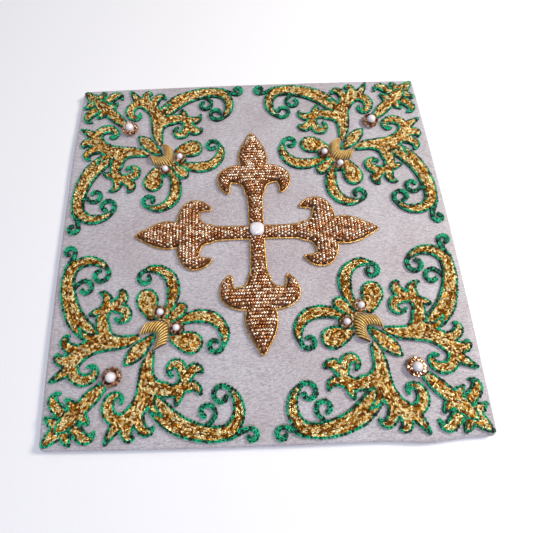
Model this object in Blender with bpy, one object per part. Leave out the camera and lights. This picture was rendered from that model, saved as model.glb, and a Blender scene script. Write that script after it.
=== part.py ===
"""Chalice pall: a stiff square of cloth that carries a padded fleury cross, four
scrollwork corners worked in chain stitch, bullion collars and pearls in bead crowns.

It lies flat with its embroidered face up. The origin is the middle of its underside,
+X runs to the right edge, +Y to the back edge and +Z up. The tables are in millimetres.
"""

import math

import bmesh
import bpy
import numpy as np

MM = 0.001

# The square of cloth
SIDE = 165.0
THICKNESS = 3.2
CORNER_ROUND = 2.4
SIDE_STEPS = 11
CORNER_STEPS = 4
# How the rolled rim turns under: inset from the outline, and height
RIM = [
    # inset, height
    (1.10, 0.0),
    (0.20, 0.7),
    (0.00, 1.6),
    (0.30, 2.6),
    (1.20, THICKNESS),
]
# How far each edge swells out past the straight side, from the front edge anticlockwise.
# The last two columns run from -1 to 1 along the edge.
EDGES = [
    # bow, swell, its middle, its half-length
    (0.8, 1.1, 0.72, 0.13),
    (1.3, 0.0, 0.0, 1.0),
    (0.9, 0.0, 0.0, 1.0),
    (1.5, 0.4, -0.55, 0.20),
]

# What is sewn on it
GAP = 0.3  # between a piece and what it is sewn to
ON_CLOTH = THICKNESS + GAP
STITCH_HEIGHT = 0.9  # how far chain stitch stands up
STITCH_DRAFT = 0.45  # how far its top is narrower than its foot
COLLAR_HEIGHT = 2.8
COLLAR_WRAPS = 7  # in each arm of the collar
COLLAR_SIDES = 6
COLLAR_GROOVE = 0.12  # depth between its wraps as a share of its size
CROSS_CORD = 0.85  # diameter of the cord round the cross
CORD_SECTION = [
    # inset, height, as shares of the diameter
    (0.0, 0.5),
    (0.5, 1.0),
    (1.0, 0.5),
    (0.5, 0.0),
]
CROSS_SECTION = [
    # inset, height
    (0.0, 0.0),
    (0.0, 1.3),
    (0.8, 2.4),
    (1.9, 2.8),
]
CABOCHON = [
    # radius, height
    (2.7, 0.0),
    (3.0, 0.9),
    (2.5, 1.9),
    (1.2, 2.5),
]
CABOCHON_SIDES = 14
PEARLS = {
    # pearl radius, crown radius, bead radius, beads
    "small": (1.4, 2.06, 0.55, 10),
    "large": (2.0, 2.93, 0.85, 11),
}
PEARL_SIDES = 10
PEARL_BANDS = 6
CROWN_SIDES = 4
CROWN_WAIST = 0.2  # how much thinner a crown is between its beads
SMALL_PEARL_AT = (43.0, 49.4)
LARGE_PEARL_AT = (25.2, 25.2)

# How the outlines are worked out
SPINE_STEP = 0.45
GRID_STEP = 0.3
OUTLINE_TOLERANCE = 0.27
CURL_ROOM = 3.0  # how far past the pall's edge an outline is looked for
MOST_DRAWN_IN = 0.85  # as a share of the way to the middle of the stroke
FOOTPRINT_LINES = 60
FOOTPRINT_DISCS = 15
FOOTPRINT_DISC = 0.25
FOOTPRINT_EDGE = 0.05  # how far the first disc's middle lies inside, as a share of the width
SMOOTH_ANGLE = 40  # degrees between faces, above which an edge stays sharp

# The side and the end of the pall that each corner is on
CORNERS = {"nw": (-1, 1), "ne": (1, 1), "sw": (-1, -1), "se": (1, -1)}


def curl(middle, radii, start, sweep, half_width, rows=9):
    """Rows of a stroke that winds in round a point, from the first radius to the second."""
    made = []
    for k in range(rows):
        share = k / (rows - 1)
        turn = math.radians(start + share * sweep)
        radius = radii[0] + share * (radii[1] - radii[0])
        place = (middle[0] + radius * math.cos(turn), middle[1] + radius * math.sin(turn))
        made.append((*place, half_width))
    return made


# Each stroke is a tapered line. Its rows are: distance from the side edge, distance from
# the end edge, half-width. They are measured from the pall's corner.
BRANCH = {
    "stem": [(36.0, 40.0, 0.9), (33.2, 39.4, 1.9), (28.6, 38.4, 2.8), (23.5, 38.0, 3.1),
             (17.5, 37.4, 3.5), (12.6, 34.8, 3.6), (9.6, 31.4, 3.6), (9.0, 28.6, 3.1)],
    "plume": [(17.5, 41.0, 1.6), (14.6, 42.4, 3.6), (10.0, 47.0, 4.0), (6.9, 52.3, 3.7),
              (4.9, 58.8, 3.3), (4.3, 64.4, 3.0), (5.4, 69.2, 2.8), (8.9, 72.1, 2.6),
              (13.2, 72.8, 2.3), (17.2, 71.5, 1.8)]
    + curl((17.4, 66.5), (3.7, 1.75), 45, -300, 1.1),
    "inner_curl": [(6.4, 59.0, 0.9), (7.2, 61.2, 1.1)]
    + curl((11.6, 60.8), (3.7, 1.5), 155, -305, 1.05),
    "edge_tendril": [(3.4, 64.5, 1.5), (3.3, 69.0, 1.5), (4.8, 73.2, 1.15)]
    + curl((3.4, 77.0), (2.5, 1.2), -25, 275, 1.05),
    "upper_frond": [(20.6, 40.5, 3.0), (19.8, 45.5, 2.8), (19.9, 49.5, 2.7), (21.2, 52.4, 2.9)],
    "upper_bend": [(20.7, 45.4, 2.6), (21.3, 42.7, 2.6), (22.7, 40.5, 2.6), (24.9, 39.1, 2.6),
                   (27.6, 38.5, 2.6)],
    "upper_lobe_1": [(19.8, 51.2, 2.2), (16.8, 50.4, 1.8), (14.6, 49.6, 0.9)],
    "upper_lobe_2": [(21.0, 53.4, 2.5), (21.2, 56.2, 2.1), (19.8, 58.0, 1.6), (18.1, 58.7, 0.8)],
    "upper_lobe_3": [(24.2, 52.8, 2.7), (27.2, 55.8, 2.5), (27.3, 58.0, 1.8), (26.2, 59.4, 0.9)],
    "upper_hook": [(25.0, 52.2, 2.2), (28.6, 51.0, 2.4), (29.4, 48.4, 2.1), (27.8, 46.8, 1.5),
                   (25.9, 46.8, 1.05), (25.0, 47.8, 0.8)],
    "end_lobe_1": [(11.0, 35.4, 2.8), (7.8, 36.8, 2.4), (5.8, 38.8, 2.0), (6.1, 40.7, 1.4),
                   (7.2, 41.6, 0.8)],
    "end_lobe_2": [(8.8, 32.0, 2.8), (5.6, 31.9, 2.4), (3.9, 32.9, 1.8), (3.8, 34.5, 0.9)],
    "end_lobe_3": [(8.8, 28.6, 2.7), (5.8, 26.6, 2.0), (3.6, 25.2, 1.4), (2.0, 24.3, 0.8)],
    "end_hook": [(9.8, 28.6, 2.7), (11.4, 25.8, 2.6), (14.5, 24.5, 2.6), (17.8, 25.6, 2.1),
                 (18.8, 27.9, 1.5), (17.5, 29.6, 1.1), (15.8, 29.3, 0.8)],
}
# These three lie across the corner's diagonal, so what is off it is drawn on both sides
SPRAY = {
    "stem": [(21.4, 21.4, 2.3), (18.6, 18.6, 3.1), (15.0, 15.0, 3.1), (12.2, 12.2, 3.4),
             (9.5, 9.5, 3.0), (7.2, 7.2, 2.0)],
    "barb": [(12.6, 14.0, 2.6), (10.9, 16.1, 1.9), (9.2, 17.7, 0.9)],
    "tip_lobe": [(7.5, 7.5, 3.4), (4.8, 4.8, 2.6), (2.2, 2.2, 1.0)],
    "side_lobe": [(7.6, 8.8, 2.8), (4.6, 10.0, 2.1), (2.2, 11.4, 0.9)],
    "curl_lobe": [(9.2, 12.0, 2.6), (6.0, 14.6, 2.5), (4.1, 17.1, 2.2), (4.4, 19.3, 1.4),
                  (6.3, 20.1, 0.8)],
}
LEAF = {
    "blade": [(41.0, 41.0, 0.9), (39.2, 39.2, 1.8), (37.4, 37.4, 2.6), (35.0, 35.0, 3.4),
              (32.3, 32.3, 2.8), (29.6, 29.6, 0.7)],
}
FLOWER = {
    "long_petal": [(45.2, 49.0, 1.6), (47.0, 53.8, 2.4), (47.7, 58.4, 2.9), (46.8, 63.2, 2.9),
                   (43.7, 66.8, 2.5), (39.6, 68.3, 2.0)]
    + curl((36.2, 64.3), (3.3, 1.35), 100, 290, 1.1),
    "round_petal": [(39.6, 46.9, 1.3), (38.5, 50.0, 3.0), (37.4, 54.2, 4.6), (37.2, 55.4, 4.5)],
    "middle_petal": [(46.5, 46.5, 1.9), (49.0, 49.0, 2.7), (51.0, 51.0, 2.8)],
    "pearl_seat": [(*SMALL_PEARL_AT, 3.0), (43.6, 46.8, 2.4), (45.6, 45.6, 2.2)],
}
# One arm of the bullion collar, from the corner's diagonal out. The other arm mirrors it.
COLLAR = [
    # a wrap's outer end, its inner end
    (45.3, 45.3, 41.4, 41.4),
    (46.3, 42.8, 41.7, 39.3),
    (46.2, 40.0, 41.2, 37.0),
    (45.6, 37.2, 40.5, 34.8),
]

CROSS_AT = (0.25, 0.9)  # the crossing, which lies a little off the middle
ARM_LENGTH = 52.2
# One arm of the cross: distance from the middle, distance off the arm's axis, half-width
CROSS_ARM = {
    "shaft": [(0.0, 0.0, 3.4), (12.0, 0.0, 3.4), (20.0, 0.0, 3.9), (25.5, 0.0, 4.8),
              (30.0, 0.0, 6.2), (33.0, 0.0, 5.6)],
    "bend": [(20.2, 1.7, 3.0), (23.0, 2.3, 3.0), (25.3, 3.8, 3.0), (26.8, 6.2, 3.0),
             (27.4, 8.9, 3.0)],
    "spear": [(33.0, 0.0, 5.6), (37.5, 0.0, 6.7), (41.5, 0.0, 5.9), (45.5, 0.0, 4.0),
              (49.0, 0.0, 2.3), (ARM_LENGTH - 1.2, 0.0, 1.2)],
    "hook": [(29.0, 3.0, 5.0), (29.6, 8.0, 4.6), (27.8, 12.4, 3.9), (23.8, 13.2, 2.7),
             (20.2, 12.1, 1.2)],
}


def smooth(rows, step):
    """Points about step apart on the smooth curve through the rows, with the half-width."""
    knots = np.array([rows[0], *rows, rows[-1]], float)
    found = []
    for before, start, end, after in zip(knots, knots[1:], knots[2:], knots[3:]):
        count = max(2, math.ceil(np.linalg.norm((end - start)[:2]) / step))
        t = np.arange(count)[:, None] / count
        found.append(
            start
            + 0.5 * t * (end - before)
            + t * t * (before - 2.5 * start + 2 * end - 0.5 * after)
            + t * t * t * (1.5 * (start - end) + 0.5 * (after - before))
        )
    return np.concatenate([*found, knots[-1:]])


def spine(strokes, mirrored=False):
    """Every stroke's points: two coordinates and a half-width each."""
    points = np.concatenate([smooth(rows, SPINE_STEP) for rows in strokes.values()])
    return np.concatenate([points, points[:, [1, 0, 2]]]) if mirrored else points


def field(points, xs, ys):
    """Signed distance from the strokes' edge at each grid point, negative inside."""
    made = np.full((len(xs), len(ys)), np.inf)
    for x, y, half_width in points:
        made = np.minimum(made, np.hypot(xs[:, None] - x, ys[None, :] - y) - half_width)
    return made


def crossings(values, level, xs, ys):
    """Where the field crosses the level on each grid edge, and which edges follow each other."""
    inside = values < level
    places, links = {}, {}
    mixed = inside[:-1, :-1].astype(int) + inside[1:, :-1] + inside[1:, 1:] + inside[:-1, 1:]
    for i, j in zip(*np.nonzero((mixed > 0) & (mixed < 4))):
        corners = [(i, j), (i + 1, j), (i + 1, j + 1), (i, j + 1)]
        cut = []
        for start, end in zip(corners, corners[1:] + corners[:1]):
            if inside[start] != inside[end]:
                share = (level - values[start]) / (values[end] - values[start])
                edge = tuple(sorted((start, end)))
                places[edge] = (
                    xs[start[0]] + share * (xs[end[0]] - xs[start[0]]),
                    ys[start[1]] + share * (ys[end[1]] - ys[start[1]]),
                )
                cut.append(edge)
        for first, second in zip(cut[::2], cut[1::2]):
            links.setdefault(first, []).append(second)
            links.setdefault(second, []).append(first)
    return places, links


def outline(values, level, xs, ys):
    """The longest closed line along which the field has that level, anticlockwise."""
    places, links = crossings(values, level, xs, ys)
    loops = []
    left = set(links)
    while left:
        edge = min(left)
        loop = []
        while edge in left:
            left.discard(edge)
            loop.append(places[edge])
            edge = next((e for e in links[edge] if e in left), edge)
        loops.append(np.array(loop))
    return anticlockwise(thinned(max(loops, key=len), OUTLINE_TOLERANCE))


def thinned(loop, tolerance):
    """The loop without the points that lie within the tolerance of a straight line."""
    far = int(np.argmax(np.linalg.norm(loop - loop[0], axis=1)))
    closed = np.concatenate([loop, loop[:1]])
    keep = {0, far, len(loop)}
    spans = [(0, far), (far, len(loop))]
    while spans:
        low, high = spans.pop()
        if high - low < 2:
            continue
        along = closed[high] - closed[low]
        rest = closed[low + 1 : high] - closed[low]
        off = np.abs(rest[:, 0] * along[1] - rest[:, 1] * along[0])
        off = off / max(np.linalg.norm(along), 1e-9)
        worst = int(np.argmax(off))
        if off[worst] > tolerance:
            keep.add(low + 1 + worst)
            spans += [(low, low + 1 + worst), (low + 1 + worst, high)]
    return closed[sorted(keep - {len(loop)})]


def anticlockwise(loop):
    after = np.roll(loop, -1, axis=0)
    area = np.sum(loop[:, 0] * after[:, 1] - loop[:, 1] * after[:, 0])
    return loop if area > 0 else loop[::-1]


def drawn_in(loop, points, inset):
    """Each point of the loop moved towards the spine point whose edge it lies on."""
    made = []
    for place in loop:
        away = np.linalg.norm(points[:, :2] - place, axis=1)
        nearest = points[np.argmin(away - points[:, 2])]
        reach = max(np.linalg.norm(nearest[:2] - place), 1e-9)
        made.append(place + (nearest[:2] - place) * min(inset / reach, MOST_DRAWN_IN))
    return np.array(made)


def material(name, colour, roughness, metallic=0.0):
    made = bpy.data.materials.new(name)
    made.use_nodes = True
    shader = made.node_tree.nodes["Principled BSDF"]
    shader.inputs["Base Color"].default_value = (*colour, 1.0)
    shader.inputs["Roughness"].default_value = roughness
    shader.inputs["Metallic"].default_value = metallic
    return made


def add_mesh(name, bm, *finishes, smooth_shading=False):
    """The finished mesh, scaled from the tables' millimetres to metres."""
    bmesh.ops.scale(bm, vec=(MM, MM, MM), verts=bm.verts)
    bmesh.ops.recalc_face_normals(bm, faces=bm.faces)
    mesh = bpy.data.meshes.new(name)
    bm.to_mesh(mesh)
    bm.free()
    for finish in finishes:
        mesh.materials.append(finish)
    if smooth_shading:
        mesh.shade_smooth()
        mesh.set_sharp_from_angle(angle=math.radians(SMOOTH_ANGLE))
    return mesh


def add_piece(name, mesh, corner=None, swapped=False):
    """One sewn-on piece. In a corner, a swapped piece lies across the corner's diagonal."""
    piece = bpy.data.objects.new(name, mesh)
    bpy.context.scene.collection.objects.link(piece)
    piece.parent = corner
    if swapped:
        piece.rotation_euler.z = math.pi / 2
        piece.scale.y = -1
    return piece


def add_corner(name, signs):
    """An empty at a corner of the pall, whose axes run along the two edges and inwards."""
    corner = bpy.data.objects.new(f"corner_{name}", None)
    bpy.context.scene.collection.objects.link(corner)
    corner.location = (signs[0] * SIDE / 2 * MM, signs[1] * SIDE / 2 * MM, 0)
    corner.scale = (-signs[0], -signs[1], 1)
    return corner


def lofted(loops, heights, closed_round=False):
    """A solid through loops of equal length, each with its height or heights."""
    bm = bmesh.new()
    rings = []
    for loop, height in zip(loops, heights):
        levels = np.broadcast_to(height, len(loop))
        rings.append([bm.verts.new((x, y, z)) for (x, y), z in zip(loop, levels)])
    around = [*zip(rings, rings[1:])] + ([(rings[-1], rings[0])] if closed_round else [])
    for lower, upper in around:
        for k in range(len(lower)):
            n = (k + 1) % len(lower)
            bm.faces.new((lower[k], lower[n], upper[n], upper[k]))
    if not closed_round:
        bm.faces.new(rings[0][::-1])
        bm.faces.new(rings[-1])
    return bm


def pall_outline():
    """The edge of the cloth from above, with rounded corners and slightly swollen sides."""
    half = SIDE / 2
    made = []
    for quarter, (bow, swell, place, length) in enumerate(EDGES):
        turn = quarter * math.pi / 2
        across = np.array([math.cos(turn), math.sin(turn)])
        out = np.array([across[1], -across[0]])
        for k in range(1, SIDE_STEPS + 1):
            t = -1 + 2 * k / (SIDE_STEPS + 1)
            bulge = bow * (1 - t * t) + swell * math.exp(-(((t - place) / length) ** 2))
            made.append(across * t * (half - CORNER_ROUND) + out * (half + bulge))
        middle = (half - CORNER_ROUND) * (across + out)
        for k in range(CORNER_STEPS):
            angle = math.pi / 2 * k / (CORNER_STEPS - 1)
            made.append(middle + CORNER_ROUND * (out * math.cos(angle) + across * math.sin(angle)))
    made = np.array(made)
    return made - (made.max(axis=0) + made.min(axis=0)) / 2


def make_pall(finish):
    edge = pall_outline()
    along = np.roll(edge, -1, axis=0) - np.roll(edge, 1, axis=0)
    out = np.stack([along[:, 1], -along[:, 0]], axis=1)
    out /= np.linalg.norm(out, axis=1)[:, None]
    bm = lofted([edge - out * inset for inset, _ in RIM], [height for _, height in RIM])
    add_piece("pall", add_mesh("pall", bm, finish, smooth_shading=True))


def make_stitching(name, values, points, reach, finishes):
    """A worked area: its foot follows the outline, and its rounded edge is green."""
    loop = outline(values, 0.0, reach, reach)
    inner = drawn_in(loop, points, STITCH_DRAFT)
    bm = lofted([loop, inner], [ON_CLOTH, ON_CLOTH + STITCH_HEIGHT])
    for face in bm.faces:
        face.material_index = 1 if len(face.verts) == 4 else 0
    return add_mesh(name, bm, *finishes)


def make_worked_areas(finishes):
    """The four worked areas of a corner, measured from the pall's corner."""
    reach = np.arange(-CURL_ROOM, SIDE / 2, GRID_STEP)
    points = {
        "leaf": spine(LEAF, mirrored=True),
        "flower": spine(FLOWER, mirrored=True),
        "branch": spine(BRANCH),
        "spray": spine(SPRAY, mirrored=True),
    }
    collar = field(collar_footprint(), reach, reach)
    _, crown_radius, bead_radius, _ = PEARLS["large"]
    crown = field(np.array([(*LARGE_PEARL_AT, crown_radius + bead_radius)]), reach, reach)
    taken = [collar, crown]
    made = {}
    for name, strokes in points.items():
        values = field(strokes, reach, reach)
        for other in taken:
            values = np.maximum(values, GAP - other)
        taken += [values, values.T]
        made[name] = make_stitching(name, values, strokes, reach, finishes)
    return made


def collar_wraps(count):
    """Lines across the collar from one arm's end to the other's: outer end, inner end."""
    arm = np.array(COLLAR)
    ends = smooth(np.concatenate([arm[:0:-1][:, [1, 0, 3, 2]], arm]), SPINE_STEP)
    steps = np.linalg.norm(np.diff(ends[:, :2], axis=0), axis=1)
    run = np.concatenate([[0.0], np.cumsum(steps)])
    at = np.linspace(0, run[-1], count)
    return np.stack([np.interp(at, run, ends[:, k]) for k in range(4)], axis=1)


def collar_footprint():
    """The ground that the collar covers, as many small discs."""
    ends = collar_wraps(FOOTPRINT_LINES)
    shares = np.linspace(FOOTPRINT_EDGE, 1 - FOOTPRINT_EDGE, FOOTPRINT_DISCS)[:, None, None]
    places = (ends[:, :2] * (1 - shares) + ends[:, 2:] * shares).reshape(-1, 2)
    return np.column_stack([places, np.full(len(places), FOOTPRINT_DISC)])


def make_collar(finish):
    """The bullion collar: a low arch of slanting wraps with a shallow groove between them."""
    turns = math.pi * np.arange(COLLAR_SIDES) / (COLLAR_SIDES - 1)
    loops, heights = [], []
    for ring, ends in enumerate(collar_wraps(4 * COLLAR_WRAPS + 1)):
        size = 1 - COLLAR_GROOVE * (1 - ring % 2)
        middle = (ends[:2] + ends[2:]) / 2
        half = (ends[:2] - ends[2:]) / 2 * size
        loops.append(middle + half * np.cos(turns)[:, None])
        heights.append(ON_CLOTH + COLLAR_HEIGHT * size * np.sin(turns))
    return add_mesh("collar", lofted(loops, heights), finish, smooth_shading=True)


def make_crown(name, place, foot, kind, finish):
    """A ring of beads round a pearl, as one ring that swells at each bead."""
    _, crown_radius, bead_radius, beads = PEARLS[kind]
    turns = math.pi * np.arange(2 * beads) / beads
    swell = 1 - CROWN_WAIST * (np.arange(2 * beads) % 2)
    loops, heights = [], []
    for side in range(CROWN_SIDES):
        around = 2 * math.pi * (side + 0.5) / CROWN_SIDES
        radius = crown_radius + bead_radius * swell * math.cos(around)
        loops.append(np.stack([radius * np.cos(turns), radius * np.sin(turns)], axis=1) + place)
        heights.append(foot + bead_radius * (1 + swell * math.sin(around)))
    return add_mesh(name, lofted(loops, heights, closed_round=True), finish, smooth_shading=True)


def make_pearl(name, place, foot, kind, finish):
    """A pearl that stands in its crown, clear of the beads by the sewing gap."""
    pearl_radius, crown_radius, bead_radius, _ = PEARLS[kind]
    rise = math.sqrt((pearl_radius + bead_radius + GAP) ** 2 - crown_radius**2)
    bm = bmesh.new()
    bmesh.ops.create_uvsphere(
        bm, u_segments=PEARL_SIDES, v_segments=PEARL_BANDS, radius=pearl_radius
    )
    bmesh.ops.translate(bm, vec=(*place, foot + bead_radius + rise), verts=bm.verts)
    return add_mesh(name, bm, finish, smooth_shading=True)


def make_corners(finishes):
    """Every piece of one corner's motif, and its copies in the four corners."""
    worked = make_worked_areas((finishes["gold_stitch"], finishes["green_stitch"]))
    collar = make_collar(finishes["gold_cord"])
    on_stitching = ON_CLOTH + STITCH_HEIGHT + GAP
    set_pearls = {}
    for kind, place, foot in [
        ("large", LARGE_PEARL_AT, ON_CLOTH),
        ("small", SMALL_PEARL_AT, on_stitching),
    ]:
        set_pearls[kind] = {
            "pearl": make_pearl(f"pearl_{kind}", place, foot, kind, finishes["pearl"]),
            "crown": make_crown(f"crown_{kind}", place, foot, kind, finishes["rose_purl"]),
        }
    for name, signs in CORNERS.items():
        corner = add_corner(name, signs)
        for piece in ("leaf", "flower", "spray"):
            add_piece(f"{piece}_{name}", worked[piece], corner)
        add_piece(f"collar_{name}", collar, corner)
        for piece, mesh in set_pearls["large"].items():
            add_piece(f"{piece}_{name}_tip", mesh, corner)
        for side, swapped in (("a", False), ("b", True)):
            add_piece(f"branch_{name}_{side}", worked["branch"], corner, swapped)
            for piece, mesh in set_pearls["small"].items():
                add_piece(f"{piece}_{name}_{side}", mesh, corner, swapped)


def at_crossing(piece):
    piece.location = (CROSS_AT[0] * MM, CROSS_AT[1] * MM, 0)


def make_cross(finishes):
    """The padded cross inside its cord, with a cabochon on the crossing."""
    arm = spine(CROSS_ARM)
    pair = np.concatenate([arm, arm * [1, -1, 1]])
    lying = np.concatenate([pair, pair * [-1, 1, 1]])
    points = np.concatenate([lying, lying[:, [1, 0, 2]]])
    span = ARM_LENGTH + 2 * GRID_STEP
    reach = np.arange(-span, span, GRID_STEP)
    values = field(points, reach, reach)

    edge = outline(values, 0.0, reach, reach)
    loops = [drawn_in(edge, points, inset * CROSS_CORD) for inset, _ in CORD_SECTION]
    heights = [ON_CLOTH + rise * CROSS_CORD for _, rise in CORD_SECTION]
    bm = lofted(loops, heights, closed_round=True)
    mesh = add_mesh("cross_cord", bm, finishes["gold_cord"], smooth_shading=True)
    at_crossing(add_piece("cross_cord", mesh))

    within_cord = CROSS_CORD + GAP
    edge = outline(values, -within_cord, reach, reach)
    padding = points - [0, 0, within_cord]
    loops = [drawn_in(edge, padding, inset) for inset, _ in CROSS_SECTION]
    heights = [ON_CLOTH + rise for _, rise in CROSS_SECTION]
    mesh = add_mesh("cross", lofted(loops, heights), finishes["rose_purl"], smooth_shading=True)
    at_crossing(add_piece("cross", mesh))

    seat = ON_CLOTH + CROSS_SECTION[-1][1] + GAP
    turns = 2 * math.pi * np.arange(CABOCHON_SIDES) / CABOCHON_SIDES
    circle = np.stack([np.cos(turns), np.sin(turns)], axis=1)
    loops = [radius * circle for radius, _ in CABOCHON]
    heights = [seat + rise for _, rise in CABOCHON]
    mesh = add_mesh("cabochon", lofted(loops, heights), finishes["pearl"], smooth_shading=True)
    at_crossing(add_piece("cabochon", mesh))


def main():
    for old in list(bpy.data.objects):
        bpy.data.objects.remove(old)
    cloth = material("silver_grey_cloth", (0.46, 0.42, 0.42), 0.75)
    finishes = {
        "gold_stitch": material("gold_chain_stitch", (0.72, 0.42, 0.07), 0.40, 0.6),
        "green_stitch": material("green_chain_stitch", (0.01, 0.20, 0.10), 0.60),
        "gold_cord": material("gold_cord", (0.75, 0.50, 0.12), 0.30, 1.0),
        "rose_purl": material("rose_gold_purl", (0.60, 0.33, 0.19), 0.35, 1.0),
        "pearl": material("pearl", (0.86, 0.86, 0.88), 0.20),
    }
    make_pall(cloth)
    make_cross(finishes)
    make_corners(finishes)


main()
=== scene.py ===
"""Looks of a chalice pall: satin, chain stitch, purl, twisted cord, bullion, pearls and crowns.

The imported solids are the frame. Each piece here stands in the place of one of them.
Tables and working values are in millimetres. +X is the right edge, +Y the back edge.
"""

import math

import bpy
import numpy as np
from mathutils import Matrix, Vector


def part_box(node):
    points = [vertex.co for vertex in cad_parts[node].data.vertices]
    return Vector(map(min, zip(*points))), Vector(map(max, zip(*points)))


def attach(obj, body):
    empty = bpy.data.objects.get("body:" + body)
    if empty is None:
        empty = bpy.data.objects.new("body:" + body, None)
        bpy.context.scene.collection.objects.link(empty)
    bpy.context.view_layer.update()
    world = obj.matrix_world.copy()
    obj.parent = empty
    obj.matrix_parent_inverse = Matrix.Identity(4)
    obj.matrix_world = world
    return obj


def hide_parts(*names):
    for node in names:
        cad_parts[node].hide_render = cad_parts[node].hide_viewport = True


bl_info = {
    "name": "Chalice pall",
    "version": (1, 0, 0),
    "blender": (4, 5, 0),
    "location": "3D View > Sidebar > Pall",
    "description": "Dresses the solids of an embroidered chalice pall",
    "category": "Add Mesh",
}

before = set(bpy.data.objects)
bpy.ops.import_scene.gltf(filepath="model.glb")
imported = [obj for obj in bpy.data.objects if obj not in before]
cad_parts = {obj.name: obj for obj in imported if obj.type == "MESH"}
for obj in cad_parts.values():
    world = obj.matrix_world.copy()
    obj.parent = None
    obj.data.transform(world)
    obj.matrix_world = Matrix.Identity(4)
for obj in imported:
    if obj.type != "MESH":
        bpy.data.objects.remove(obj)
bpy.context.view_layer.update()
MM = 0.001
SIDE = 165.0

# Levels that the solids stand on
PALL_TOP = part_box("pall")[1].z / MM
ON_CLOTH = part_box("leaf_nw")[0].z / MM

# How each edge swells out past the straight side, from the front edge anticlockwise
EDGES = [
    # bow, swell, its middle, its half-length
    (0.8, 1.1, 0.72, 0.13),
    (1.3, 0.0, 0.0, 1.0),
    (0.9, 0.0, 0.0, 1.0),
    (1.5, 0.4, -0.55, 0.20),
]
CORNER_ROUND = 2.4
RIM = [
    # inset, height as a share of the thickness
    (1.30, 0.0),
    (0.55, 0.06),
    (0.20, 0.20),
    (0.03, 0.38),
    (0.00, 0.52),
    (0.08, 0.70),
    (0.35, 0.86),
    (0.80, 0.96),
    (1.35, 1.0),
]

CROWNS = {
    # radius of the ring, radius of a bead of the solid, beads in a level
    "small": (2.06, 0.55, 13),
    "large": (2.93, 0.85, 12),
}
GAP = 0.3  # between neighbouring solids
SMALL_PEARL_AT = (43.0, 49.4)
LARGE_PEARL_AT = (25.2, 25.2)

# The side and the end of the pall that each corner is on
CORNERS = {"nw": (-1, 1), "ne": (1, 1), "sw": (-1, -1), "se": (1, -1)}


def curl(middle, radii, start, sweep, half_width, rows=9):
    """Rows of a stroke that winds in round a point, from the first radius to the second."""
    made = []
    for k in range(rows):
        share = k / (rows - 1)
        turn = math.radians(start + share * sweep)
        radius = radii[0] + share * (radii[1] - radii[0])
        place = (middle[0] + radius * math.cos(turn), middle[1] + radius * math.sin(turn))
        made.append((*place, half_width))
    return made


# The strokes of the scrollwork, as in the solids. Rows: distance from the side edge,
# distance from the end edge, half-width.
BRANCH = {
    "stem": [(36.0, 40.0, 0.9), (33.2, 39.4, 1.9), (28.6, 38.4, 2.8), (23.5, 38.0, 3.1),
             (17.5, 37.4, 3.5), (12.6, 34.8, 3.6), (9.6, 31.4, 3.6), (9.0, 28.6, 3.1)],
    "plume": [(17.5, 41.0, 1.6), (14.6, 42.4, 3.6), (10.0, 47.0, 4.0), (6.9, 52.3, 3.7),
              (4.9, 58.8, 3.3), (4.3, 64.4, 3.0), (5.4, 69.2, 2.8), (8.9, 72.1, 2.6),
              (13.2, 72.8, 2.3), (17.2, 71.5, 1.8)]
    + curl((17.4, 66.5), (3.7, 1.75), 45, -300, 1.1),
    "inner_curl": [(6.4, 59.0, 0.9), (7.2, 61.2, 1.1)]
    + curl((11.6, 60.8), (3.7, 1.5), 155, -305, 1.05),
    "edge_tendril": [(3.4, 64.5, 1.5), (3.3, 69.0, 1.5), (4.8, 73.2, 1.15)]
    + curl((3.4, 77.0), (2.5, 1.2), -25, 275, 1.05),
    "upper_frond": [(20.6, 40.5, 3.0), (19.8, 45.5, 2.8), (19.9, 49.5, 2.7), (21.2, 52.4, 2.9)],
    "upper_bend": [(20.7, 45.4, 2.6), (21.3, 42.7, 2.6), (22.7, 40.5, 2.6), (24.9, 39.1, 2.6),
                   (27.6, 38.5, 2.6)],
    "upper_lobe_1": [(19.8, 51.2, 2.2), (16.8, 50.4, 1.8), (14.6, 49.6, 0.9)],
    "upper_lobe_2": [(21.0, 53.4, 2.5), (21.2, 56.2, 2.1), (19.8, 58.0, 1.6), (18.1, 58.7, 0.8)],
    "upper_lobe_3": [(24.2, 52.8, 2.7), (27.2, 55.8, 2.5), (27.3, 58.0, 1.8), (26.2, 59.4, 0.9)],
    "upper_hook": [(25.0, 52.2, 2.2), (28.6, 51.0, 2.4), (29.4, 48.4, 2.1), (27.8, 46.8, 1.5),
                   (25.9, 46.8, 1.05), (25.0, 47.8, 0.8)],
    "end_lobe_1": [(11.0, 35.4, 2.8), (7.8, 36.8, 2.4), (5.8, 38.8, 2.0), (6.1, 40.7, 1.4),
                   (7.2, 41.6, 0.8)],
    "end_lobe_2": [(8.8, 32.0, 2.8), (5.6, 31.9, 2.4), (3.9, 32.9, 1.8), (3.8, 34.5, 0.9)],
    "end_lobe_3": [(8.8, 28.6, 2.7), (5.8, 26.6, 2.0), (3.6, 25.2, 1.4), (2.0, 24.3, 0.8)],
    "end_hook": [(9.8, 28.6, 2.7), (11.4, 25.8, 2.6), (14.5, 24.5, 2.6), (17.8, 25.6, 2.1),
                 (18.8, 27.9, 1.5), (17.5, 29.6, 1.1), (15.8, 29.3, 0.8)],
}
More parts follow.
